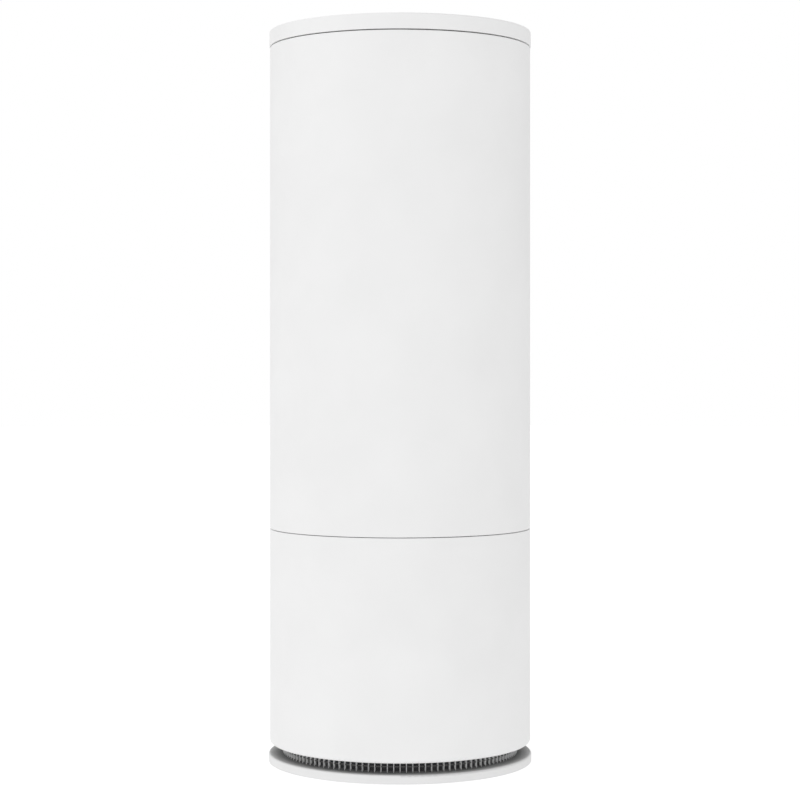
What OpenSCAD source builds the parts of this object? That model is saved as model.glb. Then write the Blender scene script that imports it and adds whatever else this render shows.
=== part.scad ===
// Tower air purifier: intake ring at the floor, lift-out drum filter, fan tower and top outlet.
// Millimetres, +Z up, origin on the floor under the centre. The mains inlet faces +Y, the front -Y.

/* [Outside] */
// Outer diameter of the lower shell and of the tower shell
body_d = 210; // [208:1:216]
// Overhang of the base plate past the lower shell
base_lip = 1; // [0.5:0.5:2]
// Overhang of the lid past the tower shell
lid_lip = 0.5; // [0:0.5:2]
// Thickness of the shell walls
wall = 2.5; // [2:0.5:3]
// Height of the lower shell
lower_h = 171.6; // [171:0.2:176]
// Height of the tower shell
upper_h = 386.4; // [380:0.2:420]
// Seam between the lower shell and the tower shell
seam = 0.5; // [0.5:0.1:1.2]
// Shadow gap between the tower shell and the lid
lid_gap = 0.8; // [0.6:0.1:1.6]
// Thickness of the lid
lid_t = 12.2; // [11:0.1:14]
// Thickness of the base plate
base_t = 7; // [6:0.2:8]
// Rounding of the bottom corner of the lower shell
corner = 2.5; // [2:0.5:5]

/* [Intake] */
// Height of the intake gap between the base plate and the lower shell
intake_gap = 8.5; // [8:0.1:10]
// Number of upright ribs round the intake
rib_n = 120; // [90:10:120]
// Thickness of one rib at its root
rib_t = 0.9; // [0.8:0.1:1.2]
// Outer radius of the ribs
rib_r = 94.5; // [92:0.5:95]

/* [Filter] */
// Outer radius of the pleated media
media_r = 84; // [80:1:84]
// Depth of the pleats
pleat_d = 24; // [18:1:26]
// Thickness of the carbon layer inside the pleats
carbon_t = 6.4; // [4:0.2:7]

/* [Fan] */
// Outer radius of the impeller
fan_r = 75; // [68:1:78]
// Number of impeller blades
blade_n = 9; // [7:1:13]
// Number of guide vanes above the impeller
vane_n = 11; // [7:1:13]
// Height of the impeller blades
blade_h = 40; // [30:1:40]

/* [Outlet and controls] */
// Number of rings across the outlet grille
ring_n = 9; // [7:1:9]
// Radius of the control panel
panel_r = 32; // [30:1:33]
// Travel of the push buttons
press = 0.8; // [0.5:0.1:1]

/* [Hidden] */
$fn = 96;

// Heights of the outside, from the floor up
foot_out = 0.5;
plate_top = foot_out + base_t;
shell_z = plate_top + intake_gap;
seam_z = shell_z + lower_h;
tower_z = seam_z + seam;
tower_top = tower_z + upper_h;
lid_z = tower_top + lid_gap;
top_z = lid_z + lid_t;

// Radii of the outside
body_r = body_d / 2;
inner_r = body_r - wall;
base_r = body_r + base_lip;
lid_r = body_r + lid_lip;
edge = 0.4;
base_edge = 1.5;
lid_edge = 1;

// Base plate, feet and base screws
foot_n = 6;
foot_r = 9;
foot_pcd_r = 84;
foot_pocket = 1.5;
base_screw_r = 76;
rib_depth = 2;
rib_tip_t = 0.25;
rib_in = rib_r - rib_depth;
ring_t = 0.8;
net_t = 0.6;
sill_w = 4.4;
floor_in = rib_in - sill_w;

// Shelf in the lower shell that the tower's spigot stands on
spigot_r = inner_r - 0.7;
spigot_t = 2.6;
spigot_z = seam_z - 12;
shelf_t = 3.7;
shelf_in = inner_r - 5.5;
magnet_r = 1.8;
magnet_h = 2.5;
magnet_pcd_r = shelf_in + 2.6;

// Filter cradle
web_n = 6;
web_t = 2.5;
web_out = floor_in - 4;
tray_z = shell_z + 13.7;
tray_t = 2.5;
tray_rim_h = 5.5;
tray_r = media_r + 5.7;

// Drum filter, standing on the cradle's tray
filter_z = tray_z + tray_t;
cap_t = 4;
cap_r = media_r + 1.5;
deck_z = spigot_z + 4.3;
gasket_top = deck_z - 0.3;
gasket_h = 4.7;
cap_z = gasket_top - gasket_h - cap_t;
media_z = filter_z + cap_t;
media_h = cap_z - media_z;
carbon_out = media_r - pleat_d - 0.2;
carbon_in = carbon_out - carbon_t;
cage_in = carbon_in - 2.4;

// Fan deck, with the inlet bell
deck_t = 2.5;
deck_top = deck_z + deck_t;
bell_r = 12;
bell_mid = 58;
bell_top = deck_z + bell_r;

// Fan housing and duct
duct_out = 86;
duct_t = 2;
duct_in = duct_out - duct_t;
flange_r = 94;
flange_t = 3;
grommet_h = 3;
grommet_r = 3.4;
bolt_r = 90.3;
bolt_n = 4;
housing_z = deck_top + grommet_h;
housing_top = 320;

// Impeller, from its eye ring up to the back plate
eye_in = 49.6;
eye_t = 2;
eye_z = bell_top - 3;
shroud_z = bell_top + 2;
shroud_t = 2;
back_z = shroud_z + shroud_t + blade_h;
back_t = 2.5;
rotor_z = back_z + back_t;

// Outer-rotor motor
shaft_r = 2.5;
running_fit = 0.05;
cup_r = 30;
cup_t = 1.5;
cup_h = 25.5;
magnet_t = 2;
air_gap = 0.7;
core_r = cup_r - cup_t - magnet_t - air_gap;
tube_r = 9;
board_z = rotor_z + cup_h + 3;
plate_z = board_z + 4;
can_r = 40;
can_t = 2;
can_z = rotor_z + 4.5;
can_top = plate_z + 29;

// Top of the tower
frame_z = lid_z - 6;
frame_t = 3;
outlet_r = 82;
lid_open_r = outlet_r + 1;
grille_top = top_z - 3;
lid_screw_r = 92;
lid_screw_n = 6;

// Control panel
panel_top = top_z - 0.9;
panel_t = 3;
housing_cup_z = panel_top - panel_t - 17;
board_top = panel_top - 10;
button_gap = 0.3;
switch_h = 2;
power_r = 9;
small_r = 5.5;
small_pcd_r = 20;

// Mains inlet and supply board at the back
inlet_w = 27;
inlet_h = 19;
inlet_z = tower_z + 33;
inlet_front = body_r - 1.5;
supply_y = 92.4;
supply_w = 56;
supply_h = 90;
supply_z = housing_top + 25;
pcb_t = 1.6;
part_y = supply_y + pcb_t;
cable_y = part_y + 2;
cable_r = 1.8;
sensor_a = 50;

// Tube from the z axis outwards: ring of the given radii between two heights
module ring(r_in, r_out, z0, z1) {
    translate([0, 0, z0]) difference() {
        cylinder(r = r_out, h = z1 - z0);
        translate([0, 0, -1]) cylinder(r = r_in, h = z1 - z0 + 2);
    }
}

// Half section of a ring whose outer edges are rounded by low at the bottom and high at the top
module rounded_section(r_in, r_out, z0, z1, low, high) {
    middle = (z0 + z1) / 2;
    translate([r_in, z0]) square([r_out - low - r_in, middle - z0]);
    translate([r_in, z0 + low]) square([r_out - r_in, z1 - z0 - low - high]);
    translate([r_in, middle]) square([r_out - high - r_in, z1 - middle]);
    translate([r_out - low, z0 + low]) circle(low);
    translate([r_out - high, z1 - high]) circle(high);
}

// Children repeated n times round the z axis at radius r
module around(n, r, start = 0) {
    for (i = [0 : n - 1]) rotate(start + i * 360 / n) translate([r, 0, 0]) children();
}

// Pan-head screw with a cross recess, head up, under-head face at z = 0
module screw(head_r, head_h, shank_r, length) {
    difference() {
        cylinder(r = head_r, h = head_h);
        for (a = [0, 90]) rotate(a)
            translate([-head_r * 0.6, -0.4, head_h * 0.5]) cube([head_r * 1.2, 0.8, head_h]);
    }
    translate([0, 0, -length]) cylinder(r = shank_r, h = length);
}

// Plan outline of a blade swept backwards from r0 to r1
function blade_point(r0, r1, sweep, u, side) =
    let (r = r0 + (r1 - r0) * u, a = -sweep * u * u + side * 50 / r) [r * cos(a), r * sin(a)];
function blade_outline(r0, r1, sweep, steps = 16) = concat(
    [for (i = [0 : steps]) blade_point(r0, r1, sweep, i / steps, 1)],
    [for (i = [steps : -1 : 0]) blade_point(r0, r1, sweep, i / steps, -1)]
);

// ---- Base section ----

module base_plate() {
    color("white") difference() {
        union() {
            rotate_extrude() rounded_section(0, base_r, foot_out, plate_top, edge, base_edge);
            ring(rib_in - 3, rib_in - net_t - 0.3, plate_top - 0.5, plate_top + 1.5);
        }
        around(foot_n, foot_pcd_r) cylinder(r = foot_r, h = foot_out + foot_pocket);
        around(web_n, base_screw_r, 30) {
            cylinder(r = 2.2, h = plate_top + 1);
            cylinder(r = 4.4, h = foot_out + 3);
        }
    }
}

module rubber_feet() {
    color("dimgray") around(foot_n, foot_pcd_r) {
        cylinder(r1 = foot_r - 0.5, r2 = foot_r, h = 0.5);
        translate([0, 0, 0.5]) cylinder(r = foot_r, h = foot_out + foot_pocket - 0.5);
    }
}

module base_screws() {
    color("silver") around(web_n, base_screw_r, 30)
        translate([0, 0, foot_out + 3]) rotate([180, 0, 0]) screw(3.8, 2.3, 1.6, 14);
}

module intake_grille() {
    mid = plate_top + intake_gap / 2;
    root = rib_t / 2;
    tip = rib_tip_t / 2;
    ring_in = rib_in + 0.3;
    ring_out = rib_r - 0.8;
    color("gainsboro") union() {
        around(rib_n, rib_in) translate([0, 0, plate_top]) linear_extrude(intake_gap)
            polygon([[0, -root], [rib_depth, -tip], [rib_depth, tip], [0, root]]);
        ring(ring_in, ring_out, plate_top, plate_top + ring_t);
        ring(ring_in, ring_out, mid - ring_t / 2, mid + ring_t / 2);
        ring(ring_in, ring_out, shell_z - ring_t, shell_z);
    }
}

// Woven net behind the ribs
module intake_net() {
    color("dimgray") ring(rib_in - net_t, rib_in, plate_top, shell_z);
}

module lower_shell() {
    color("white") difference() {
        rotate_extrude() {
            difference() {
                union() {
                    translate([floor_in, shell_z]) square([body_r - corner - floor_in, wall]);
                    translate([inner_r - corner, shell_z + corner])
                        square([corner + wall, lower_h - corner - edge]);
                    translate([inner_r - corner, seam_z - 2 * edge])
                        square([corner + wall - edge, 2 * edge]);
                    translate([body_r - edge, seam_z - edge]) circle(edge);
                    translate([body_r - corner, shell_z + corner]) circle(corner);
                }
                translate([floor_in, shell_z + wall]) square([inner_r - floor_in, lower_h]);
            }
            translate([shelf_in, spigot_z - shelf_t]) square([inner_r + 1 - shelf_in, shelf_t]);
        }
        rotate(180) translate([magnet_pcd_r, 0, spigot_z - magnet_h])
            cylinder(r = magnet_r, h = magnet_h + 1);
    }
}

module filter_cradle() {
    boss_r = 4.5;
    color("lightgray") difference() {
        union() {
            translate([0, 0, tray_z]) cylinder(r = tray_r, h = tray_t);
            ring(tray_r - 2, tray_r, tray_z, tray_z + tray_t + tray_rim_h);
            around(web_n, 0, 30) {
                translate([20, -web_t / 2, plate_top]) cube([web_out - 20, web_t, tray_z - plate_top]);
                translate([web_out - 2, -web_t / 2, shell_z + wall])
                    cube([inner_r - 4 - web_out, web_t, tray_z - shell_z - wall]);
            }
            around(web_n, base_screw_r, 30)
                translate([0, 0, plate_top]) cylinder(r = boss_r, h = tray_z - plate_top);
        }
        around(web_n, base_screw_r, 30) cylinder(r = 1.6, h = foot_out + 18);
    }
}

module interlock_magnet() {
    color("silver") rotate(180) translate([magnet_pcd_r, 0, spigot_z - magnet_h])
        cylinder(r = magnet_r, h = magnet_h);
}

// ---- Drum filter ----

module filter_bottom_cap() {
    color("slategray") {
        translate([0, 0, filter_z]) cylinder(r = cap_r, h = cap_t);
        ring(media_r, cap_r, filter_z + cap_t, media_z + 4);
    }
}

module filter_top_cap() {
    color("slategray") {
        ring(cage_in, cap_r, cap_z, cap_z + cap_t);
        ring(media_r, cap_r, cap_z - 4, cap_z);
    }
}

module hepa_media() {
    color("ivory") ring(media_r - pleat_d, media_r, media_z, media_z + media_h);
}

module carbon_layer() {
    color("darkslategray") ring(carbon_in, carbon_out, media_z, media_z + media_h);
}

module filter_core_cage() {
    rows = 5;
    pitch = media_h / rows;
    color("gray") difference() {
        ring(cage_in, carbon_in - 0.2, media_z, media_z + media_h);
        for (k = [0 : rows - 1])
            for (a = [0 : 45 : 135])
                rotate(a) translate([-carbon_in, -14, media_z + k * pitch + 3])
                    cube([2 * carbon_in, 28, pitch - 6]);
    }
}

module filter_gasket() {
    color("dimgray") ring(bell_mid + 1, bell_mid + 8, cap_z + cap_t, gasket_top);
}

module pull_tabs() {
    color("gray") for (a = [0, 180]) rotate(a) translate([0, 0, cap_z + cap_t])
        rotate_extrude(angle = 60, start = -30) translate([69, 0]) square([11, 1]);
}

module prefilter_mesh() {
    r = cap_r + 0.4;
    color("darkgray") {
        ring(r, r + 1, filter_z + 0.5, cap_z + cap_t - 0.5);
    }
}

// ---- Fan ----

module fan_deck() {
    color("whitesmoke") difference() {
        rotate_extrude() {
            translate([spigot_r - spigot_t, spigot_z]) square([spigot_t, tower_z + 12 - spigot_z]);
            translate([spigot_r - 0.5, tower_z + 2]) square([inner_r - spigot_r + 0.5, 8]);
            translate([bell_mid, deck_z]) square([spigot_r - spigot_t / 2 - bell_mid, deck_t]);
            translate([bell_mid, bell_top]) intersection() {
                difference() {
                    circle(bell_r);
                    circle(bell_r - deck_t);
                }
                translate([-bell_r, -bell_r]) square(bell_r);
            }
        }
        around(bolt_n, bolt_r, 45) translate([0, 0, deck_z - 1]) cylinder(r = 1.6, h = deck_t + 2);
    }
}

module fan_seal() {
    color("dimgray") ring(duct_in - 4, duct_out - 0.6, deck_top, housing_z);
}

module isolation_grommets() {
    color("dimgray") around(bolt_n, bolt_r, 45) ring(1.6, grommet_r, deck_top, housing_z);
}

module fan_housing() {
    cable_z = can_top - 8;
    color("lightgray") difference() {
        union() {
            ring(duct_in, duct_out, housing_z, housing_top);
            ring(duct_in, flange_r, housing_z, housing_z + flange_t);
            ring(duct_in, flange_r, housing_top - flange_t, housing_top);
        }
        around(bolt_n, bolt_r, 45) {
            translate([0, 0, housing_z - 1]) cylinder(r = 1.6, h = flange_t + 2);
            translate([0, 0, housing_top - flange_t - 1]) cylinder(r = 1.6, h = flange_t + 2);
        }
        rotate(cable_a()) translate([can_r, 0, cable_z]) rotate([0, 90, 0]) cylinder(r = cable_r, h = 60);
    }
}

function cable_a() = atan2(cable_y, supply_w / 2 - 4);

module guide_vanes() {
    vane_h = can_top - can_z - 22;
    color("lightgray") difference() {
        union() {
            ring(can_r - can_t, can_r, can_z, can_top);
            translate([0, 0, plate_z]) cylinder(r = can_r - 1, h = 3);
            for (i = [0 : vane_n - 1]) rotate(i * 360 / vane_n)
                translate([0, 0, can_z + 4]) linear_extrude(vane_h)
                    polygon(blade_outline(can_r - 1, duct_in, 22));
        }
        around(3, 12.5) translate([0, 0, plate_z - 1]) cylinder(r = 1.25, h = 5);
        rotate(cable_a()) {
            translate([22, 0, plate_z - 1]) cylinder(r = cable_r, h = 5);
            translate([can_r - 5, 0, can_top - 8]) rotate([0, 90, 0]) cylinder(r = cable_r, h = 10);
        }
    }
}

module motor_cover() {
    color("lightgray") translate([0, 0, can_top - 3]) cylinder(r = can_r - can_t, h = 3);
}

module motor_screws() {
    color("silver") around(3, 12.5) translate([0, 0, plate_z + 3]) screw(2.4, 1.8, 1.25, 5.4);
}

module stator_core() {
    teeth = 9;
    z = rotor_z + 9.5;
    h = 12;
    color("silver") translate([0, 0, z]) difference() {
        union() {
            cylinder(r = 13, h = h);
            around(teeth, 12) translate([0, -1.75, 0]) cube([core_r - 14.5, 3.5, h]);
            for (i = [0 : teeth - 1]) rotate(i * 360 / teeth)
                rotate_extrude(angle = 30, start = -15) translate([core_r - 3.3, 0]) square([3.3, h]);
        }
        translate([0, 0, -1]) cylinder(r = tube_r, h = h + 2);
    }
}

module stator_windings() {
    z = rotor_z + 6.5;
    length = core_r - 18;
    color("chocolate") around(9, 13.3) translate([0, 0, z]) difference() {
        translate([0, -3.6, 0]) cube([length, 7.2, 18]);
        translate([-1, -1.75, 3]) cube([length + 2, 3.5, 12]);
    }
}

module motor_board() {
    color("seagreen") difference() {
        ring(tube_r, cup_r - 2, board_z, board_z + pcb_t);
        rotate(cable_a()) translate([22, 0, board_z - 1]) cylinder(r = cable_r, h = 4);
    }
}

module bearing_tube() {
    color("gold") difference() {
        union() {
            translate([0, 0, rotor_z + 3.5]) cylinder(r = tube_r, h = plate_z - rotor_z - 3.5);
            translate([0, 0, board_z + pcb_t]) cylinder(r = 16, h = plate_z - board_z - pcb_t);
        }
        translate([0, 0, rotor_z]) cylinder(r = 5.5, h = plate_z - rotor_z + 1);
        around(3, 12.5) translate([0, 0, board_z]) cylinder(r = 1.25, h = 8);
    }
}

module bearings() {
    color("lightsteelblue") for (z = [rotor_z + 4.5, plate_z - 5])
        ring(shaft_r + running_fit, 5.5, z, z + 4);
}

module impeller() {
    color("white") union() {
        ring(shaft_r, fan_r, back_z, rotor_z);
        ring(shaft_r, 8, back_z - 6, rotor_z);
        ring(eye_in, eye_in + eye_t, eye_z, shroud_z + shroud_t);
        ring(eye_in, fan_r, shroud_z, shroud_z + shroud_t);
        for (i = [0 : blade_n - 1]) rotate(i * 360 / blade_n)
            translate([0, 0, shroud_z + shroud_t / 2]) linear_extrude(blade_h + shroud_t / 2 + 1)
                polygon(blade_outline(eye_in + eye_t + 1, fan_r - 1, 34));
    }
}

module rotor_cup() {
    color("silver") {
        ring(shaft_r, cup_r, rotor_z, rotor_z + 2);
        ring(cup_r - cup_t, cup_r, rotor_z + 2, rotor_z + cup_h);
    }
}

module rotor_magnets() {
    color("dimgray")
        ring(cup_r - cup_t - magnet_t, cup_r - cup_t, rotor_z + 4.5, rotor_z + cup_h - 1);
}

module motor_shaft() {
    color("silver") translate([0, 0, back_z - 6]) cylinder(r = shaft_r, h = plate_z - back_z + 5);
}

// ---- Duct and tower ----

module flow_duct() {
    color("lightgray") difference() {
        union() {
            ring(duct_in, duct_out, housing_top, frame_z);
            ring(duct_in, flange_r, housing_top, housing_top + flange_t);
            for (x = [-22, 22]) for (z = [8, supply_h - 8])
                translate([x, supply_y, supply_z + z]) rotate([90, 0, 0])
                    cylinder(r = 3, h = supply_y - sqrt(duct_in * duct_in - x * x) - 1);
        }
        translate([0, 0, housing_top - 1]) cylinder(r = duct_in, h = frame_z - housing_top + 2);
        around(bolt_n, bolt_r, 45)
            translate([0, 0, housing_top - 1]) cylinder(r = 1.6, h = flange_t + 2);
        translate([0, 0, frame_z - 10]) rotate([-90, 0, 0]) cylinder(r = cable_r, h = duct_out + 1);
    }
}

module acoustic_foam() {
    color("dimgray") ring(duct_in - 10, duct_in, housing_top + 10, frame_z - 30);
}

module housing_screws() {
    color("silver") around(bolt_n, bolt_r, 45) {
        translate([0, 0, housing_z + flange_t]) screw(3.2, 2.2, 1.6, flange_t + grommet_h + deck_t);
        translate([0, 0, housing_top + flange_t]) screw(3.2, 2.2, 1.6, 2 * flange_t);
    }
}

module upper_shell() {
    color("white") difference() {
        rotate_extrude() rounded_section(inner_r, body_r, tower_z, tower_top, edge, edge);
        translate([-inlet_w / 2, inner_r - 10, inlet_z - inlet_h / 2]) cube([inlet_w, 20, inlet_h]);
        rotate(sensor_a) for (k = [-2 : 2])
            translate([inner_r - 6, k * 4 - 0.8, inlet_z + 24]) cube([12, 1.6, 20]);
    }
}

module mains_inlet() {
    depth = 17;
    color("dimgray") difference() {
        translate([-inlet_w / 2, inlet_front - depth, inlet_z - inlet_h / 2])
            cube([inlet_w, depth, inlet_h]);
        for (x = [-3.2, 3.2])
            translate([x, inlet_front + 1, inlet_z]) rotate([90, 0, 0]) cylinder(r = 3.9, h = 13);
        translate([-3.2, inlet_front - 12, inlet_z - 3.9]) cube([6.4, 13, 7.8]);
    }
}

module inlet_pins() {
    color("gold") for (x = [-4.3, 4.3])
        translate([x, inlet_front - 3, inlet_z]) rotate([90, 0, 0]) cylinder(r = 1.2, h = 9);
}

module psu_board() {
    color("seagreen") translate([-supply_w / 2, supply_y, supply_z]) cube([supply_w, pcb_t, supply_h]);
}

module psu_parts() {
    color("goldenrod") translate([0, part_y, supply_z]) {
        translate([-10, 0, 0]) cube([20, 5, 12]);
        translate([supply_w / 2 - 8, 0, 0]) cube([8, 4, 8]);
        translate([-4, 0, supply_h - 8]) cube([8, 4, 8]);
        translate([-13, 0, 38]) cube([26, 5.5, 24]);
        for (x = [-16, 16]) translate([x, 0, 26]) cube([9, 5, 9]);
        for (x = [-18, -8]) translate([x, 2.5, 70]) cylinder(r = 2.5, h = 12);
    }
}

module air_sensor() {
    depth = 10;
    width = 36;
    face = sqrt(inner_r * inner_r - width * width / 4) - 0.01;
    color("silver") rotate(sensor_a) translate([face - depth, -width / 2, inlet_z + 16])
        cube([depth, width, 36]);
}

module reed_sensor() {
    color("black") rotate(180) translate([spigot_r - spigot_t - 6, -6, spigot_z + 0.3])
        cube([5.5, 12, deck_z - spigot_z - 0.3]);
}

module mains_leads() {
    z0 = inlet_z + inlet_h / 2;
    color("saddlebrown") for (x = [-5, 5])
        translate([x, cable_y, z0]) cylinder(r = 1.4, h = supply_z - z0);
}

module motor_cable() {
    z = can_top - 8;
    bend = 6;
    reach = norm([cable_y, supply_w / 2 - 4]);
    color("dimgray") rotate(cable_a()) union() {
        translate([22, 0, board_z]) cylinder(r = cable_r, h = z - bend - board_z);
        translate([22 + bend, 0, z - bend]) rotate([90, 0, 0])
            rotate_extrude(angle = 90, start = 90) translate([bend, 0]) circle(cable_r);
        translate([22 + bend, 0, z]) rotate([0, 90, 0]) cylinder(r = cable_r, h = reach - 22 - 2 * bend);
        translate([reach - bend, 0, z + bend]) rotate([90, 0, 0])
            rotate_extrude(angle = 90, start = 270) translate([bend, 0]) circle(cable_r);
        translate([reach, 0, z + bend]) cylinder(r = cable_r, h = supply_z - z - bend);
    }
}

module panel_cable() {
    z = frame_z - 10;
    bend = 6;
    near = 18;
    z0 = supply_z + supply_h;
    color("dimgray") rotate(90) union() {
        translate([cable_y, 0, z0]) cylinder(r = cable_r, h = z - bend - z0);
        translate([cable_y - bend, 0, z - bend]) rotate([90, 0, 0])
            rotate_extrude(angle = 90, start = 0) translate([bend, 0]) circle(cable_r);
        translate([near + bend, 0, z]) rotate([0, 90, 0])
            cylinder(r = cable_r, h = cable_y - near - 2 * bend);
        translate([near + bend, 0, z + bend]) rotate([90, 0, 0])
            rotate_extrude(angle = 90, start = 180) translate([bend, 0]) circle(cable_r);
        translate([near, 0, z + bend]) cylinder(r = cable_r, h = housing_cup_z - z - bend);
    }
}

module top_frame() {
    color("dimgray") difference() {
        union() {
            ring(inner_r - 3, inner_r, frame_z - 24, lid_z);
            ring(outlet_r - 2, inner_r - 1, frame_z, frame_z + frame_t);
        }
        around(lid_screw_n, lid_screw_r) translate([0, 0, frame_z - 1]) cylinder(r = 1.6, h = frame_t + 2);
    }
}

module lid_ring() {
    flare = 4;
    color("white") difference() {
        rotate_extrude() difference() {
            rounded_section(lid_open_r, lid_r, lid_z, top_z, edge, lid_edge);
            translate([lid_open_r - 1, top_z - flare]) difference() {
                square([flare + 1, flare + 1]);
                translate([flare + 1, 0]) circle(flare);
            }
        }
        around(lid_screw_n, lid_screw_r) translate([0, 0, lid_z - 1]) cylinder(r = 1.6, h = 8);
    }
}

module lid_screws() {
    color("silver") around(lid_screw_n, lid_screw_r)
        translate([0, 0, frame_z]) rotate([180, 0, 0]) screw(3.2, 2.2, 1.6, lid_z - frame_z + 7);
}

module outlet_grille() {
    hub = panel_r + 2;
    pitch = (outlet_r - hub - 2) / ring_n;
    spoke_n = 12;
    z0 = grille_top - 7;
    color("gainsboro") difference() {
        union() {
            ring(hub, hub + 2, z0 - 6, top_z - 1.5);
            ring(outlet_r - 2, outlet_r, frame_z + frame_t, grille_top);
            ring(outlet_r - 1, inner_r - 4, frame_z + frame_t, lid_z);
            for (k = [1 : ring_n - 1])
                ring(hub + 2 + k * pitch - 1.4, hub + 2 + k * pitch, z0, grille_top);
            around(spoke_n, hub + 1) translate([0, -1, z0]) cube([outlet_r - hub - 2, 2, 5.5]);
        }
        around(lid_screw_n, lid_screw_r)
            translate([0, 0, frame_z]) cylinder(r = 1.6, h = lid_z - frame_z + 1);
    }
}

// ---- Control panel ----

module panel_housing() {
    post = board_top - pcb_t - housing_cup_z - 2;
    color("dimgray") difference() {
        union() {
            translate([0, 0, housing_cup_z]) cylinder(r = panel_r, h = 2);
            ring(panel_r - 2, panel_r, housing_cup_z, panel_top - panel_t);
            around(3, 24, 30) translate([0, 0, housing_cup_z + 2]) cylinder(r = 3, h = post);
        }
        around(3, 24, 30) translate([0, 0, housing_cup_z - 1]) cylinder(r = 1.25, h = post + 4);
    }
}

module control_panel() {
    color("gainsboro") difference() {
        rotate_extrude() rounded_section(0, panel_r, panel_top - panel_t, panel_top, edge, edge);
        translate([0, 0, panel_top - panel_t - 1]) {
            cylinder(r = power_r + button_gap, h = panel_t + 2);
            around(3, small_pcd_r, 90) cylinder(r = small_r + button_gap, h = panel_t + 2);
        }
    }
}

module light_ring() {
    color("azure") ring(panel_r, panel_r + 2, panel_top - 6, panel_top);
}

module control_board() {
    color("seagreen") difference() {
        translate([0, 0, board_top - pcb_t]) cylinder(r = panel_r - 3, h = pcb_t);
        around(3, 24, 30) translate([0, 0, board_top - pcb_t - 1]) cylinder(r = 1.25, h = pcb_t + 2);
    }
}

module tact_switches() {
    size = 6;
    color("black") translate([-size / 2, -size / 2, board_top]) {
        cube([size, size, switch_h]);
        for (i = [0 : 2]) let (a = 90 + i * 120)
            translate([small_pcd_r * cos(a), small_pcd_r * sin(a), 0]) cube([size, size, switch_h]);
    }
}

module panel_screws() {
    color("silver") around(3, 24, 30)
        translate([0, 0, board_top]) screw(2.2, 1.6, 1.25, board_top - housing_cup_z - 3);
}

// Round button with a stem down to its switch, at rest just above the panel
module button(r) {
    color("white") {
        translate([0, 0, panel_top - panel_t]) cylinder(r = r, h = panel_t);
        translate([0, 0, panel_top]) cylinder(r1 = r, r2 = r - 0.5, h = 0.5);
        translate([0, 0, board_top + switch_h + press + 0.2])
            cylinder(r = 2, h = panel_top - board_top - switch_h - press - 1);
    }
}

module power_button() {
    button(power_r);
}

module speed_button() {
    rotate(90) translate([small_pcd_r, 0, 0]) button(small_r);
}

module mode_button() {
    rotate(210) translate([small_pcd_r, 0, 0]) button(small_r);
}

module timer_button() {
    rotate(330) translate([small_pcd_r, 0, 0]) button(small_r);
}

base_plate();
rubber_feet();
base_screws();
intake_grille();
intake_net();
lower_shell();
filter_cradle();
interlock_magnet();
filter_bottom_cap();
filter_top_cap();
hepa_media();
carbon_layer();
filter_core_cage();
filter_gasket();
pull_tabs();
prefilter_mesh();
fan_deck();
fan_seal();
isolation_grommets();
fan_housing();
guide_vanes();
motor_cover();
motor_screws();
stator_core();
stator_windings();
motor_board();
bearing_tube();
bearings();
impeller();
rotor_cup();
rotor_magnets();
motor_shaft();
flow_duct();
acoustic_foam();
housing_screws();
upper_shell();
mains_inlet();
inlet_pins();
psu_board();
psu_parts();
air_sensor();
reed_sensor();
mains_leads();
motor_cable();
panel_cable();
top_frame();
lid_ring();
lid_screws();
outlet_grille();
panel_housing();
control_panel();
light_ring();
control_board();
tact_switches();
panel_screws();
power_button();
speed_button();
mode_button();
timer_button();
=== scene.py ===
"""Looks of a tower air purifier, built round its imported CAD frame. Metres, +Z up, front at -Y."""

import math

import bmesh
import bpy
from mathutils import Matrix, Vector


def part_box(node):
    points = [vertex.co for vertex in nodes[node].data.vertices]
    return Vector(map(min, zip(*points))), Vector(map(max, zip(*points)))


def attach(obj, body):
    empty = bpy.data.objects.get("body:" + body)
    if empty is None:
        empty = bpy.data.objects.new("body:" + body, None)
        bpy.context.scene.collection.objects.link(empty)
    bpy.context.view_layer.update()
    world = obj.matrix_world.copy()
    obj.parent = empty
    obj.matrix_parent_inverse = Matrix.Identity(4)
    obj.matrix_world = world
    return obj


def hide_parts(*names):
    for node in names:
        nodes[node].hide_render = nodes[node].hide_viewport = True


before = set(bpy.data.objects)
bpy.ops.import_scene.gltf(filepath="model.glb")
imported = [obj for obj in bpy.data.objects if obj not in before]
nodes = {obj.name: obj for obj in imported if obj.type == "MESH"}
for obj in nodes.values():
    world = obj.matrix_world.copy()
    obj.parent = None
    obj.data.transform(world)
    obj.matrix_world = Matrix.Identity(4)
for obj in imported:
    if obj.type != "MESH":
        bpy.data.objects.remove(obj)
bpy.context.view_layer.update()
MM = 0.001

# Brightness of the studio all round, how much brighter it is on one side, and the floor's own light
WORLD_LEVEL = 0.795
WORLD_CONTRAST = 0.18
BRIGHT_SIDE = Vector((-0.73, -0.66, 0.19)).normalized()
FLOOR_GLOW = 0.75
FLOOR_RADIUS = 9.0

# The camera that fits the photo: distance and height in radii of the body, the lens, and the frame's shift
CAMERA_DISTANCE = 16.488
CAMERA_HEIGHT = 3.0583
CAMERA_LENS_MM = 96.28
SENSOR_MM = 36.0
CAMERA_SHIFT = (-0.0001, -0.0474)

# Parts of a noise or pore value over which a colour or a roughness changes
NOISE_SPAN = (0.3, 0.7)
COLOUR_SPAN = (0.32, 0.68)
PORE_SPAN = (0.1, 0.75)

# Moulded plastic: clouds in the tone, patches in the sheen
CLOUD_MM = 55.0
CLOUD_DARK = 0.985
CLOUD_LIGHT = 1.012
SHEEN_MM = 9.0
SHEEN_STEP = 0.05

# Metal: fine streaks and broader patches
STREAK_MM = 1.6
PATCH_MM = 6.0
PATCH_DARK = 0.86
STREAK_SMOOTHER = 0.08
STREAK_ROUGHER = 0.1

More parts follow.
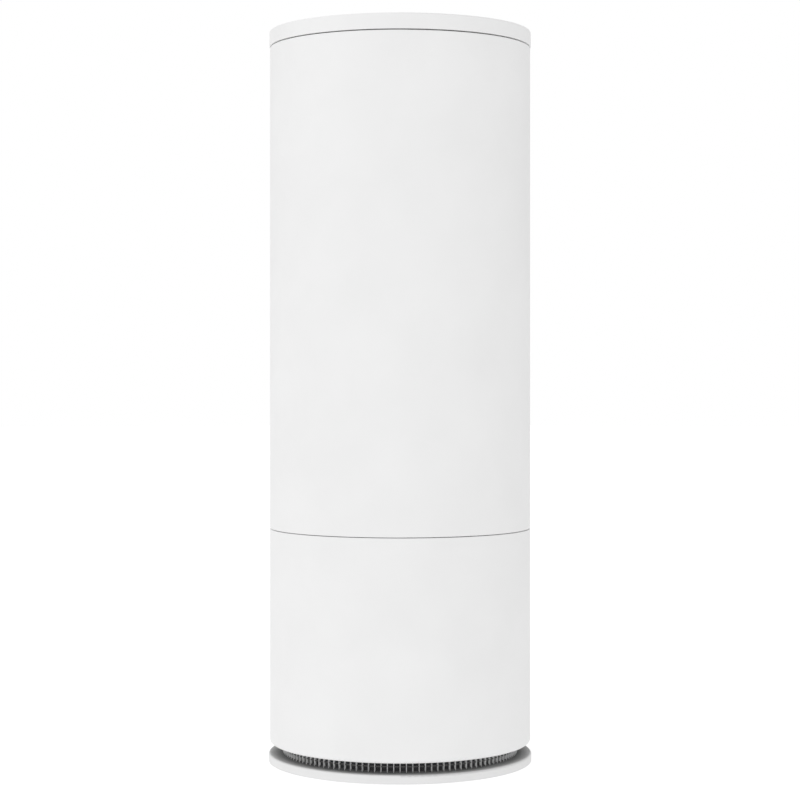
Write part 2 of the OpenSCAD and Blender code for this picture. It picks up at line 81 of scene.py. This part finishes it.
# Depths behind the intake grille's outer radius at which the painted shade on its ribs and its rings is
# full and at which it ends
RIB_FULL_SHADE = 3.6 * MM
RIB_NO_SHADE = 0.8 * MM
RING_FULL_SHADE = 0.75 * MM
RING_NO_SHADE = 0.2 * MM
RING_CLEARANCE = 0.1 * MM

# Fineness of turned shapes, rounded corners and printed arcs
RING_SEGMENTS = 192
CORNER_STEPS = 4
ARC_STEPS = 24

# Printed marks on the buttons
INK_WIDE = 0.45 * MM
INK_FINE = 0.35 * MM
INK_FINEST = 0.3 * MM
INK_HIGH = 0.06 * MM


# ---- Camera, light and floor ----

def radius_of(node):
    """Outer radius of a CAD node that is round about the Z axis."""
    low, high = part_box(node)
    return max(high.x, high.y, -low.x, -low.y)


def add_camera():
    """A long lens, level, from straight in front, a little above half the object's height."""
    body_r = radius_of("upper_shell")
    distance = CAMERA_DISTANCE * body_r
    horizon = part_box("base_plate")[0].z + CAMERA_HEIGHT * body_r
    data = bpy.data.cameras.new("camera")
    data.sensor_width = SENSOR_MM
    data.lens = CAMERA_LENS_MM
    data.shift_x, data.shift_y = CAMERA_SHIFT
    data.clip_end = 100.0
    camera = bpy.data.objects.new("camera", data)
    bpy.context.scene.collection.objects.link(camera)
    camera.location = (0.0, -distance, horizon)
    camera.rotation_euler = (math.radians(90), 0.0, 0.0)
    bpy.context.scene.camera = camera


def add_area_light(name, place, aim, size, power):
    data = bpy.data.lights.new(name, "AREA")
    data.shape = "DISK"
    data.size = size
    data.energy = power
    light = bpy.data.objects.new(name, data)
    bpy.context.scene.collection.objects.link(light)
    light.location = place
    light.rotation_euler = (Vector(aim) - Vector(place)).to_track_quat("-Z", "Y").to_euler()


def add_world():
    """A white studio that is a little brighter from the front left, and pure white behind the object."""
    world = bpy.data.worlds.new("studio")
    bpy.context.scene.world = world
    world.use_nodes = True
    tree = world.node_tree
    background = tree.nodes["Background"]
    background.inputs["Color"].default_value = (1.0, 1.0, 1.0, 1.0)
    coords = tree.nodes.new("ShaderNodeTexCoord")
    dot = tree.nodes.new("ShaderNodeVectorMath")
    dot.operation = "DOT_PRODUCT"
    dot.inputs[1].default_value = BRIGHT_SIDE * WORLD_CONTRAST
    level = tree.nodes.new("ShaderNodeMath")
    level.operation = "ADD"
    level.inputs[1].default_value = WORLD_LEVEL
    ray = tree.nodes.new("ShaderNodeLightPath")
    seen = tree.nodes.new("ShaderNodeMath")
    seen.operation = "MAXIMUM"
    tree.links.new(coords.outputs["Generated"], dot.inputs[0])
    tree.links.new(dot.outputs["Value"], level.inputs[0])
    tree.links.new(level.outputs[0], seen.inputs[0])
    tree.links.new(ray.outputs["Is Camera Ray"], seen.inputs[1])
    tree.links.new(seen.outputs[0], background.inputs["Strength"])


def add_floor():
    just_below = (0, 0, -0.2 * MM)
    bpy.ops.mesh.primitive_circle_add(
        vertices=96, radius=FLOOR_RADIUS, fill_type="NGON", location=just_below
    )
    floor = bpy.context.object
    floor.name = "floor"
    floor.data.materials.append(FLOOR)


# ---- Materials ----

def new_material(name, colour, roughness, **sockets):
    """A Principled material; sockets are its other inputs by name, with spaces as underscores."""
    material = bpy.data.materials.new(name)
    material.use_nodes = True
    shader = material.node_tree.nodes["Principled BSDF"]
    shader.inputs["Base Color"].default_value = (*colour, 1.0)
    shader.inputs["Roughness"].default_value = roughness
    for key, value in sockets.items():
        shader.inputs[key.replace("_", " ")].default_value = value
    return material


def add_node(material, kind, **inputs):
    node = material.node_tree.nodes.new(kind)
    for key, value in inputs.items():
        node.inputs[key.replace("_", " ")].default_value = value
    return node


def link(material, source, target):
    material.node_tree.links.new(source, target)


def shader_of(material):
    return material.node_tree.nodes["Principled BSDF"]


def object_coords(material, stretch=(1.0, 1.0, 1.0)):
    """The surface point in metres, in the object's own frame, stretched for brushed or streaked detail."""
    coords = add_node(material, "ShaderNodeTexCoord")
    mapping = add_node(material, "ShaderNodeMapping")
    mapping.inputs["Scale"].default_value = stretch
    link(material, coords.outputs["Object"], mapping.inputs["Vector"])
    return mapping.outputs["Vector"]


def noise(material, size_mm, detail=3.0, stretch=(1.0, 1.0, 1.0)):
    """Noise whose features are about size_mm across."""
    node = add_node(material, "ShaderNodeTexNoise", Scale=1.0 / (size_mm * MM), Detail=detail)
    link(material, object_coords(material, stretch), node.inputs["Vector"])
    return node.outputs["Fac"]


def map_range(material, value, source, target):
    """Maps a value from the span source onto the span target, and clamps it."""
    node = add_node(material, "ShaderNodeMapRange")
    for key, number in zip(("From Min", "From Max", "To Min", "To Max"), (*source, *target)):
        node.inputs[key].default_value = number
    link(material, value, node.inputs["Value"])
    return node.outputs["Result"]


def math_node(material, operation, *values):
    node = add_node(material, "ShaderNodeMath")
    node.operation = operation
    for slot, value in zip(node.inputs, values):
        if isinstance(value, (int, float)):
            slot.default_value = value
        else:
            link(material, value, slot)
    return node.outputs[0]


def spread(material, value, low, high):
    """Maps a value from the span where noise usually lies onto low to high."""
    return map_range(material, value, NOISE_SPAN, (low, high))


def vary_colour(material, value, colour_a, colour_b, span=COLOUR_SPAN):
    """Base colour runs from colour_a to colour_b while the value crosses the span."""
    ramp = add_node(material, "ShaderNodeValToRGB")
    for element, position, colour in zip(ramp.color_ramp.elements, span, (colour_a, colour_b)):
        element.position = position
        element.color = (*colour, 1.0)
    link(material, value, ramp.inputs["Fac"])
    link(material, ramp.outputs["Color"], shader_of(material).inputs["Base Color"])


def vary_roughness(material, value, low, high):
    link(material, spread(material, value, low, high), shader_of(material).inputs["Roughness"])


def add_bump(material, height, depth_mm):
    """Bump of depth_mm on top of any bump that is already there."""
    bump = add_node(material, "ShaderNodeBump", Strength=1.0, Distance=depth_mm * MM)
    link(material, height, bump.inputs["Height"])
    normal = shader_of(material).inputs["Normal"]
    if normal.links:
        link(material, normal.links[0].from_socket, bump.inputs["Normal"])
    link(material, bump.outputs["Normal"], normal)


def round_coords(material):
    """(angle about Z in radians, height in metres) of the surface point."""
    split = add_node(material, "ShaderNodeSeparateXYZ")
    link(material, object_coords(material), split.inputs["Vector"])
    angle = math_node(material, "ARCTAN2", split.outputs["Y"], split.outputs["X"])
    return angle, split.outputs["Z"]


def wave(material, value, per_unit):
    """Sine of value, with per_unit waves in one unit, from -1 to 1."""
    return math_node(material, "SINE", math_node(material, "MULTIPLY", value, 2 * math.pi * per_unit))


def weave(material, around_per_turn, pitch_mm):
    """Plain weave on a round sleeve: threads over and under each other."""
    angle, height = round_coords(material)
    turns = wave(material, angle, around_per_turn / (2 * math.pi))
    rows = wave(material, height, 1.0 / (pitch_mm * MM))
    return math_node(material, "MULTIPLY", turns, rows)


def moulded(name, tone, roughness, grain_mm=0.45, grain_depth=0.012, tint=(1.0, 1.0, 1.0), **sockets):
    """Moulded plastic: fine spark-eroded grain, faint clouds in the tone, uneven sheen."""
    colour = [tone * t for t in tint]
    material = new_material(name, colour, roughness, **sockets)
    lighter = [min(1.0, c * CLOUD_LIGHT) for c in colour]
    vary_colour(material, noise(material, CLOUD_MM, detail=4.0), [c * CLOUD_DARK for c in colour], lighter)
    sheen = noise(material, SHEEN_MM, detail=5.0)
    vary_roughness(material, sheen, roughness - SHEEN_STEP, roughness + SHEEN_STEP)
    add_bump(material, noise(material, grain_mm, detail=2.0), grain_depth)
    return material


def tone_down(material, value):
    """Multiply the base colour by a value that changes over the surface, and return the mixing node."""
    mix = add_node(material, "ShaderNodeMix")
    mix.data_type = "RGBA"
    mix.blend_type = "MULTIPLY"
    mix.inputs["Factor"].default_value = 1.0
    base = shader_of(material).inputs["Base Color"]
    colour_a, colour_b = (slot for slot in mix.inputs if slot.type == "RGBA")
    link(material, base.links[0].from_socket, colour_a)
    link(material, value, colour_b)
    link(material, next(slot for slot in mix.outputs if slot.type == "RGBA"), base)
    return mix


def shade_crevices(material, reach_mm, depth):
    """Darken faces that look up, where other surfaces close round within reach_mm."""
    closeness = add_node(material, "ShaderNodeAmbientOcclusion", Distance=reach_mm * MM)
    closeness.samples = 8
    mix = tone_down(material, math_node(material, "POWER", closeness.outputs["AO"], depth))
    normal = add_node(material, "ShaderNodeNewGeometry")
    split = add_node(material, "ShaderNodeSeparateXYZ")
    link(material, normal.outputs["Normal"], split.inputs[0])
    link(material, spread(material, split.outputs["Z"], 0.0, 1.0), mix.inputs["Factor"])


def paint_rib_shade(material, node, ring_mm, dark):
    """Painted shade on the ribs: darkens them inwards to the tone dark, with darker painted shade on the
    rings at their top, middle and bottom.
    """
    edge = radius_of(node)
    low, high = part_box(node)
    half = (high.z - low.z) / 2
    split = add_node(material, "ShaderNodeSeparateXYZ")
    link(material, object_coords(material), split.inputs[0])
    x, y, z = (split.outputs[axis] for axis in "XYZ")
    y_squared = math_node(material, "MULTIPLY", y, y)
    radius = math_node(material, "SQRT", math_node(material, "MULTIPLY_ADD", x, x, y_squared))
    rib = map_range(material, radius, (edge - RIB_FULL_SHADE, edge - RIB_NO_SHADE), (dark, 1.0))
    ring = map_range(material, radius, (edge - RING_FULL_SHADE, edge - RING_NO_SHADE), (dark, 1.0))
    from_middle = math_node(material, "ABSOLUTE", math_node(material, "SUBTRACT", z, low.z + half))
    between = (ring_mm * MM / 2 + half - ring_mm * MM) / 2
    clear = between - ring_mm * MM / 2 - RING_CLEARANCE
    clear_of_rings = math_node(material, "COMPARE", from_middle, between, clear)
    rib_part = math_node(material, "MULTIPLY", rib, clear_of_rings)
    tone_down(material, math_node(material, "MAXIMUM", rib_part, ring))


def metal(name, colour, roughness, streak=(1.0, 1.0, 12.0)):
    """Plated or brushed metal with fine streaks."""
    material = new_material(name, colour, roughness, Metallic=1.0)
    streaks = noise(material, STREAK_MM, detail=5.0, stretch=streak)
    vary_colour(material, noise(material, PATCH_MM), [c * PATCH_DARK for c in colour], colour)
    vary_roughness(material, streaks, roughness - STREAK_SMOOTHER, roughness + STREAK_ROUGHER)
    add_bump(material, streaks, depth_mm=0.01)
    return material


def soft(name, dark, light, pore_mm, depth_mm, roughness=0.95):
    """Foam, granules or felt: cells of pore_mm with colour in their depth."""
    material = new_material(name, light, roughness)
    cells = add_node(material, "ShaderNodeTexVoronoi", Scale=1.0 / (pore_mm * MM))
    link(material, object_coords(material), cells.inputs["Vector"])
    vary_colour(material, cells.outputs["Distance"], light, dark, PORE_SPAN)
    add_bump(material, cells.outputs["Distance"], -depth_mm)
    fine = 0.4
    add_bump(material, noise(material, pore_mm * fine), depth_mm * fine)
    return material


def woven(name, dark, light, threads, pitch_mm):
    """Cloth or net on a round sleeve: threads that rise and sink, with a little fuzz."""
    material = new_material(name, light, 0.85, Sheen_Weight=0.2)
    rise = weave(material, threads, pitch_mm)
    vary_colour(material, map_range(material, rise, (-1.0, 1.0), (0.0, 1.0)), dark, light)
    add_bump(material, rise, depth_mm=0.08)
    fuzz_mm = 0.3
    add_bump(material, noise(material, fuzz_mm, detail=2.0), depth_mm=0.02)
    return material


SHELL = moulded("shell_white", 0.84, 0.6, Specular_IOR_Level=0.3)
GRILLE = moulded("grille_white", 0.80, 0.45)
PLATE = moulded("plate_white", 0.78, 0.6, Specular_IOR_Level=0.3)
# Painted shade on the plate's upturned faces where the shell and the grille close round them
shade_crevices(PLATE, reach_mm=14.0, depth=0.95)
# Painted shade: the white intake ribs darken inwards towards the net, and their rings darker still
RIBS = moulded("rib_white_painted_shade", 0.92, 0.45)
paint_rib_shade(RIBS, "intake_grille", ring_mm=0.8, dark=0.12)
INNER = moulded("inner_grey", 0.42, 0.55, tint=(0.97, 0.99, 1.0))
DARK = moulded("dark_plastic", 0.035, 0.5)
BUTTON = moulded("button_white", 0.82, 0.4, grain_mm=0.3, grain_depth=0.006)
PANEL = moulded("panel_gloss", 0.78, 0.16, grain_mm=2.5, grain_depth=0.002, Coat_Weight=0.5)
RUBBER = moulded("rubber", 0.03, 0.75, grain_mm=0.6, grain_depth=0.03)
CAP = moulded("filter_cap", 0.22, 0.7, grain_mm=0.8, grain_depth=0.03, tint=(0.85, 0.95, 1.05))
CABLE = moulded("cable", 0.03, 0.42, grain_mm=1.2, grain_depth=0.01)
COMPONENT = moulded("components", 0.05, 0.38, grain_mm=0.5)
BOARD = moulded("circuit_board", 0.16, 0.35, grain_mm=1.0, tint=(0.12, 0.9, 0.45))
INK = moulded("icon_ink", 0.22, 0.6)
STEEL = metal("steel", (0.62, 0.62, 0.63), 0.3)
BRASS = metal("brass", (0.80, 0.60, 0.28), 0.28)
COPPER = metal("copper", (0.66, 0.30, 0.14), 0.35, streak=(1.0, 1.0, 30.0))
MAGNET = metal("magnet", (0.12, 0.12, 0.13), 0.45)
FOAM = soft("foam", (0.006, 0.006, 0.007), (0.05, 0.05, 0.055), pore_mm=1.3, depth_mm=0.45)
CARBON = soft(
    "carbon", (0.002, 0.002, 0.002), (0.025, 0.025, 0.027),
    pore_mm=1.8, depth_mm=0.6, roughness=0.5,
)
NET = woven("net", (0.018, 0.018, 0.02), (0.07, 0.07, 0.075), threads=360, pitch_mm=1.6)
PLEAT = moulded("hepa_paper", 0.80, 0.9, grain_mm=0.5, grain_depth=0.05, tint=(1.0, 0.99, 0.95))
RIBBON = woven("ribbon", (0.20, 0.22, 0.25), (0.40, 0.43, 0.47), threads=420, pitch_mm=1.1)
GLOW = new_material(
    "light_diffuser", (0.86, 0.90, 0.93), 0.3,
    Emission_Color=(0.55, 0.85, 1.0, 1.0), Emission_Strength=0.1,
)
vary_roughness(GLOW, noise(GLOW, size_mm=2.0), low=0.22, high=0.4)
add_bump(GLOW, noise(GLOW, size_mm=0.5), depth_mm=0.01)
FLOOR = new_material(
    "floor_white", (0.35, 0.35, 0.35), 0.9,
    Emission_Color=(1.0, 1.0, 1.0, 1.0), Emission_Strength=FLOOR_GLOW,
)
vary_roughness(FLOOR, noise(FLOOR, size_mm=40.0), low=0.85, high=0.95)

CAD_MATERIALS = {
    "base_plate": PLATE, "lower_shell": SHELL, "upper_shell": SHELL, "lid_ring": SHELL,
    "rubber_feet": RUBBER, "isolation_grommets": RUBBER,
    "base_screws": STEEL, "motor_screws": STEEL, "housing_screws": STEEL, "lid_screws": STEEL,
    "panel_screws": STEEL, "stator_core": STEEL, "bearings": STEEL, "rotor_cup": STEEL,
    "motor_shaft": STEEL, "air_sensor": STEEL,
    "interlock_magnet": MAGNET, "rotor_magnets": MAGNET,
    "stator_windings": COPPER, "bearing_tube": BRASS, "inlet_pins": BRASS,
    "intake_grille": RIBS, "impeller": GRILLE,
    "filter_cradle": DARK, "top_frame": DARK, "panel_housing": DARK, "mains_inlet": DARK,
    "filter_bottom_cap": CAP, "filter_top_cap": CAP, "filter_core_cage": INNER,
    "fan_deck": INNER, "fan_housing": INNER, "guide_vanes": INNER, "motor_cover": INNER,
    "flow_duct": INNER,
    "motor_board": BOARD, "psu_board": BOARD, "control_board": BOARD,
    "psu_parts": COMPONENT, "reed_sensor": COMPONENT, "tact_switches": COMPONENT,
    "mains_leads": CABLE, "motor_cable": CABLE, "panel_cable": CABLE,
    "control_panel": PANEL, "light_ring": GLOW,
    "power_button": BUTTON, "speed_button": BUTTON, "mode_button": BUTTON, "timer_button": BUTTON,
}


def dress_cad_nodes():
    for name, material in CAD_MATERIALS.items():
        mesh = nodes[name].data
        mesh.materials.clear()
        mesh.materials.append(material)


# ---- Building pieces ----

def finish_piece(name, bm, material, body, replaced=(), smooth_angle=35):
    """Turns a bmesh into a piece that rides on a CAD body and stands for CAD nodes."""
    bmesh.ops.recalc_face_normals(bm, faces=bm.faces)
    mesh = bpy.data.meshes.new(name)
    bm.to_mesh(mesh)
    bm.free()
    mesh.materials.append(material)
    mesh.shade_smooth()
    mesh.set_sharp_from_angle(angle=math.radians(smooth_angle))
    piece = bpy.data.objects.new(name, mesh)
    bpy.context.scene.collection.objects.link(piece)
    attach(piece, body)
    if replaced:
        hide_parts(*replaced)


def join_loops(bm, loops):
    """Adds the faces between each closed loop of vertices and the next."""
    for near, far in zip(loops, loops[1:]):
        for k in range(len(near)):
            n = (k + 1) % len(near)
            bm.faces.new((near[k], far[k], far[n], near[n]))


def close_ends(bm, loops):
    bm.faces.new(loops[0])
    bm.faces.new(list(reversed(loops[-1])))


def revolve(bm, outline, segments=RING_SEGMENTS):
    """Adds a closed outline of (radius, height) points turned once about Z."""
    loops = []
    for i in range(segments):
        a = 2 * math.pi * i / segments
        loops.append([bm.verts.new((r * math.cos(a), r * math.sin(a), z)) for r, z in outline])
    join_loops(bm, loops + loops[:1])


def add_ring(bm, r0, r1, z0, z1, rounding, segments=RING_SEGMENTS):
    """Adds a ring between two radii and two heights, with all its edges rounded."""
    low_r, high_r = r0 + rounding, r1 - rounding
    low_z, high_z = z0 + rounding, z1 - rounding
    corners = ((high_r, low_z, -90), (high_r, high_z, 0), (low_r, high_z, 90), (low_r, low_z, 180))
    outline = []
    for r, z, from_angle in corners:
        for k in range(CORNER_STEPS + 1):
            a = math.radians(from_angle + 90 * k / CORNER_STEPS)
            outline.append((r + rounding * math.cos(a), z + rounding * math.sin(a)))
    revolve(bm, outline, segments)


def add_box(bm, low, high, turn):
    """Adds a box between two corners, moved by the matrix turn."""
    made = bmesh.ops.create_cube(bm, size=1.0)["verts"]
    low, high = Vector(low), Vector(high)
    for v in made:
        v.co = Vector((v.co[i] * (high[i] - low[i]) + (high[i] + low[i]) / 2 for i in range(3)))
    bmesh.ops.transform(bm, matrix=turn, verts=made)


def outlet_grille():
    """Rings with rounded edges, square-edged spokes, an outer rim under the lid and a hub round the panel.
    """
    low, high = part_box("outlet_grille")
    panel_r = radius_of("panel_housing")
    lid_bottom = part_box("lid_ring")[0].z
    wall = 2 * MM
    half_wall = wall / 2
    hub_in = panel_r + wall
    hub_out = hub_in + wall
    outlet_r = 82 * MM
    ring_count = 9
    ring_wide = 1.4 * MM
    pitch = (outlet_r - hub_out) / ring_count
    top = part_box("lid_ring")[1].z - 3 * MM
    bottom = top - 7 * MM
    hub_drop = 6 * MM
    rounded = 0.6 * MM
    bm = bmesh.new()
    add_ring(bm, hub_in, hub_out, bottom - hub_drop, high.z, rounded)
    add_ring(bm, outlet_r - wall, outlet_r, low.z, top, rounded)
    add_ring(bm, outlet_r - half_wall, high.x, low.z, lid_bottom, rounded / 2)
    for k in range(1, ring_count):
        r = hub_out + k * pitch
        add_ring(bm, r - ring_wide, r, bottom, top, rounded)
    spokes = 12
    spoke_tall = 5.5 * MM
    spoke_low = (hub_in + half_wall, -half_wall, bottom)
    spoke_high = (outlet_r - half_wall, half_wall, bottom + spoke_tall)
    for i in range(spokes):
        turn = Matrix.Rotation(2 * math.pi * i / spokes, 4, "Z")
        add_box(bm, spoke_low, spoke_high, turn)
    finish_piece("outlet_grille_rings", bm, GRILLE, "tower", ["outlet_grille"])


def pleated_media():
    """Folded filter paper between its inner and outer radius, with lines of glue across the folds."""
    low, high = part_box("hepa_media")
    inset = 0.4 * MM
    r_out = radius_of("hepa_media") - inset
    fold_deep = 23 * MM
    r_in = r_out - fold_deep
    pleats = 100
    steps = 8
    bm = bmesh.new()
    thickness = 0.5 * MM
    fold_roundness = 0.06
    count = pleats * steps
    profile = []
    for i in range(count):
        phase = (i % steps) / steps
        fold = 1 - abs(2 * phase - 1)
        eased = fold + fold_roundness * math.sin(2 * math.pi * fold)
        profile.append((2 * math.pi * i / count, r_in + (r_out - r_in) * eased))
    walls = []
    for z in (low.z, high.z):
        outer = [bm.verts.new((r * math.cos(a), r * math.sin(a), z)) for a, r in profile]
        inner = [
            bm.verts.new(((r - thickness) * math.cos(a), (r - thickness) * math.sin(a), z))
            for a, r in profile
        ]
        walls.append((outer, inner))
    (outer0, inner0), (outer1, inner1) = walls
    for i in range(count):
        n = (i + 1) % count
        bm.faces.new((outer0[i], outer0[n], outer1[n], outer1[i]))
        bm.faces.new((inner0[n], inner0[i], inner1[i], inner1[n]))
        bm.faces.new((outer0[n], outer0[i], inner0[i], inner0[n]))
        bm.faces.new((outer1[i], outer1[n], inner1[n], inner1[i]))
    glue_lines = 4
    bead_in = 1.6 * MM
    bead_out = 0.3 * MM
    bead_half = 0.7 * MM
    for k in range(1, glue_lines + 1):
        z = low.z + (high.z - low.z) * k / (glue_lines + 1)
        low_z, high_z = z - bead_half, z + bead_half
        add_ring(bm, r_out - bead_in, r_out + bead_out, low_z, high_z, rounding=0.6 * MM)
    finish_piece("pleated_media", bm, PLEAT, "filter", ["hepa_media"], smooth_angle=50)


def carbon_sleeve():
    """Granular carbon pressed into a sleeve, with a grain that stands out of the surface."""
    low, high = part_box("carbon_layer")
    inset = 0.5 * MM
    r_out = radius_of("carbon_layer") - inset
    thick = 5.4 * MM
    grain = 0.25 * MM
    scatter = 12.9898
    long_edge = 50 * MM
    bm = bmesh.new()
    add_ring(bm, r_out - thick, r_out, low.z, high.z, rounding=0.8 * MM, segments=220)
    tall_edges = [e for e in bm.edges if e.calc_length() > long_edge]
    bmesh.ops.subdivide_edges(bm, edges=tall_edges, cuts=70)
    for v in bm.verts:
        # The sine of a large multiple of the index scatters the grains without a random draw
        v.co += Vector((v.co.x, v.co.y, 0)).normalized() * grain * math.sin(v.index * scatter)
    finish_piece("carbon_granules", bm, CARBON, "filter", ["carbon_layer"])


def open_net(name, r, span, threads, wire, body, replaced):
    """A net on a sleeve between two heights; threads counts its uprights and its rows."""
    z0, z1 = span
    uprights, rows = threads
    # A row is a four-sided thread whose middle lies a little more than half a wire outside the radius
    row_out = 0.6
    corner_angles = [math.radians(45 + 90 * q) for q in range(4)]
    bm = bmesh.new()
    for i in range(uprights):
        turn = Matrix.Rotation(2 * math.pi * i / uprights, 4, "Z")
        add_box(bm, (r, -wire / 2, z0), (r + wire, wire / 2, z1), turn)
    for k in range(rows + 1):
        z = z0 + (z1 - z0) * k / rows
        z = min(max(z, z0 + wire / 2), z1 - wire / 2)
        outline = [
            (r + wire * (row_out + 0.5 * math.cos(a)), z + wire * 0.5 * math.sin(a))
            for a in corner_angles
        ]
        revolve(bm, outline, segments=180)
    finish_piece(name, bm, NET, body, replaced, smooth_angle=60)


def prefilter_sleeve():
    """Washable net round the drum, with a hem at the top and the bottom and one sewn seam."""
    low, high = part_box("prefilter_mesh")
    sleeve_thick = 1 * MM
    r = radius_of("prefilter_mesh") - sleeve_thick
    inset = 2 * MM
    wire = 0.4 * MM
    span = (low.z + inset, high.z - inset)
    threads = (200, 48)
    open_net("prefilter_net", r, span, threads, wire, "filter", ["prefilter_mesh"])
    bm = bmesh.new()
    hem = 6 * MM
    hem_in = r + 0.1 * MM
    hem_out = r + 0.9 * MM
    for z in (low.z, high.z - hem):
        add_ring(bm, hem_in, hem_out, z, z + hem, rounding=0.3 * MM)
    seam_half = 4 * MM
    seam_out = r + 0.8 * MM
    seam_low = (hem_in, -seam_half, low.z + hem)
    seam_high = (seam_out, seam_half, high.z - hem)
    add_box(bm, seam_low, seam_high, Matrix.Rotation(math.pi / 2, 4, "Z"))
    finish_piece("prefilter_hems", bm, RIBBON, "filter")


def intake_net():
    """Dark woven cloth behind the ribs, with raised threads."""
    low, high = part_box("intake_net")
    wire = 0.3 * MM
    r = radius_of("intake_net") - 2 * wire
    bm = bmesh.new()
    add_ring(bm, r, r + wire, low.z, high.z, rounding=0.1 * MM)
    finish_piece("intake_cloth", bm, NET, "base_section", ["intake_net"])
    thread_r = r + 0.25 * MM
    span = (low.z, high.z)
    threads = (360, 6)
    open_net("intake_threads", thread_r, span, threads, wire, "base_section", [])


def foam_rings():
    """The filter's and the fan's seals: soft rings of a width, with edges of a rounding."""
    rings = (
        ("filter_gasket", "filter", 7 * MM, 1.4 * MM, "gasket_foam"),
        ("fan_seal", "tower", 3.4 * MM, 1.0 * MM, "seal_foam"),
    )
    for node, body, width, rounding, name in rings:
        low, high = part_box(node)
        r = radius_of(node)
        bm = bmesh.new()
        add_ring(bm, r - width, r, low.z, high.z, rounding)
        finish_piece(name, bm, FOAM, body, [node])


def duct_lining():
    """Wavy acoustic foam inside the duct."""
    low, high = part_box("acoustic_foam")
    r_out = radius_of("acoustic_foam")
    waves = 12
    steps = 8
    mean_thick = 6.5 * MM
    wave_deep = 2.5 * MM
    outline = [(r_out, high.z), (r_out, low.z)]
    count = waves * steps
    for i in range(count + 1):
        z = low.z + (high.z - low.z) * i / count
        thick = mean_thick - wave_deep * math.cos(2 * math.pi * i / steps)
        outline.append((r_out - thick, z))
    bm = bmesh.new()
    revolve(bm, outline, segments=128)
    finish_piece("duct_lining_foam", bm, FOAM, "tower", ["acoustic_foam"], smooth_angle=60)


def pull_ribbons():
    """Two ribbon loops lying on the drum's top cap."""
    low_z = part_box("pull_tabs")[0].z
    r_out = radius_of("pull_tabs")
    inner = r_out - 10.6 * MM
    outer = r_out - 0.4 * MM
    thick = 0.5 * MM
    gap = 0.05 * MM
    rise = 0.35 * MM
    arc = 60
    steps = 24
    bm = bmesh.new()
    for start in (-30, 150):
        loops = []
        for i in range(steps + 1):
            u = i / steps
            a = math.radians(start + arc * u)
            z = low_z + gap + rise * math.sin(math.pi * u)
            section = [(inner, z), (outer, z), (outer, z + thick), (inner, z + thick)]
            loops.append([bm.verts.new((r * math.cos(a), r * math.sin(a), h)) for r, h in section])
        join_loops(bm, loops)
        close_ends(bm, loops)
    finish_piece("pull_ribbons", bm, RIBBON, "filter", ["pull_tabs"])


# ---- Marks on the buttons ----

def turned(centre, reach, angle):
    """The point at a distance and an angle from a centre, in the XY plane."""
    return centre[0] + reach * math.cos(angle), centre[1] + reach * math.sin(angle)


def add_arc(bm, centre, radius, start, end, z, width=INK_WIDE):
    """A raised printed arc in the XY plane."""
    loops = []
    for i in range(ARC_STEPS + 1):
        a = math.radians(start + (end - start) * i / ARC_STEPS)
        loop = []
        for r, h in ((-0.5, 0), (0.5, 0), (0.5, 1), (-0.5, 1)):
            x, y = turned(centre, radius + r * width, a)
            loop.append(bm.verts.new((x, y, z + h * INK_HIGH)))
        loops.append(loop)
    join_loops(bm, loops)
    close_ends(bm, loops)


def add_bar(bm, centre, angle, r0, r1, z, width=INK_WIDE):
    """A raised printed bar from r0 to r1 away from centre."""
    turn = Matrix.Translation((centre[0], centre[1], z)) @ Matrix.Rotation(math.radians(angle), 4, "Z")
    add_box(bm, (r0, -width / 2, 0), (r1, width / 2, INK_HIGH), turn)


def button_marks():
    """Plain symbols: on and off, blades of a fan, three arcs one above the other, a clock."""
    for name in ("power_button", "speed_button", "mode_button", "timer_button"):
        low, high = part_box(name)
        centre = ((low.x + high.x) / 2, (low.y + high.y) / 2)
        sunk = 0.01 * MM
        z = high.z - sunk
        bm = bmesh.new()
        if name == "power_button":
            add_arc(bm, centre, radius=3.6 * MM, start=125, end=415, z=z)
            add_bar(bm, centre, angle=90, r0=1.6 * MM, r1=4.6 * MM, z=z)
        elif name == "speed_button":
            for a in (90, 210, 330):
                mid = turned(centre, reach=1.3 * MM, angle=math.radians(a))
                add_arc(bm, mid, radius=1.2 * MM, start=a - 150, end=a + 60, z=z, width=INK_FINE)
        elif name == "mode_button":
            origin = (centre[0], centre[1] - 1.2 * MM)
            for r in (0.9, 1.8, 2.7):
                add_arc(bm, origin, radius=r * MM, start=40, end=140, z=z, width=INK_FINE)
        else:
            add_arc(bm, centre, radius=2.4 * MM, start=0, end=360, z=z, width=INK_FINE)
            add_bar(bm, centre, angle=90, r0=0, r1=1.7 * MM, z=z, width=INK_FINEST)
            add_bar(bm, centre, angle=0, r0=0, r1=1.2 * MM, z=z, width=INK_FINEST)
        finish_piece(name.replace("button", "mark"), bm, INK, name)


bpy.context.scene.view_settings.view_transform = "Standard"
add_camera()
add_world()
add_area_light("top_light", place=(-0.4, -0.6, 2.6), aim=(0, 0, 0.2), size=2.4, power=8)
add_floor()
dress_cad_nodes()
outlet_grille()
pleated_media()
carbon_sleeve()
prefilter_sleeve()
intake_net()
foam_rings()
duct_lining()
pull_ribbons()
button_marks()
